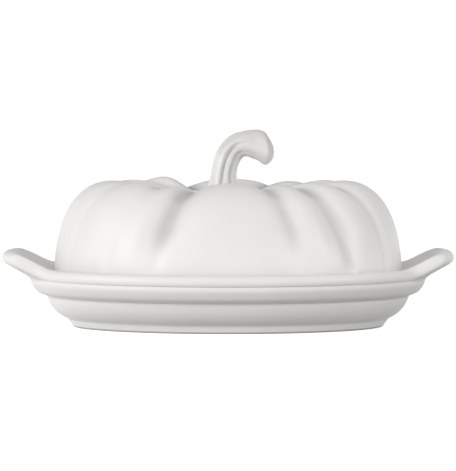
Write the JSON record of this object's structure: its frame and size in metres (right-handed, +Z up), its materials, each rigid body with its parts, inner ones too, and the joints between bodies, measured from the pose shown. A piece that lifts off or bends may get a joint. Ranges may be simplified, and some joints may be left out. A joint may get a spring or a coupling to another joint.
{
  "type": "pumpkin butter dish",
  "caption": "Oval footed butter dish with a stepped side and turned-up tab handles, and a lobed pumpkin lid with a curved, ridged stem as its knob.",
  "frame": {"origin": "on the table, under the middle of the foot", "axes": "+X along the dish, towards the end that the stem curls to; +Z up; -Y is the front"},
  "size_m": [0.216, 0.1238, 0.0944],
  "materials": {
    "tray_glaze": "white satin glaze over stoneware, with an unglazed foot ring",
    "lid_glaze": "white satin glaze over stoneware"
  },
  "bodies": {
    "tray": {"tray": "tray_glaze"},
    "lid": {"lid_shell": "lid_glaze", "stem_knob": "lid_glaze"}
  },
  "joints": [
    {"name": "lid_lift", "type": "slide", "parent": "tray", "child": "lid", "axis": [0, 0, 1], "range_m": [0, 0.08]}
  ]
}
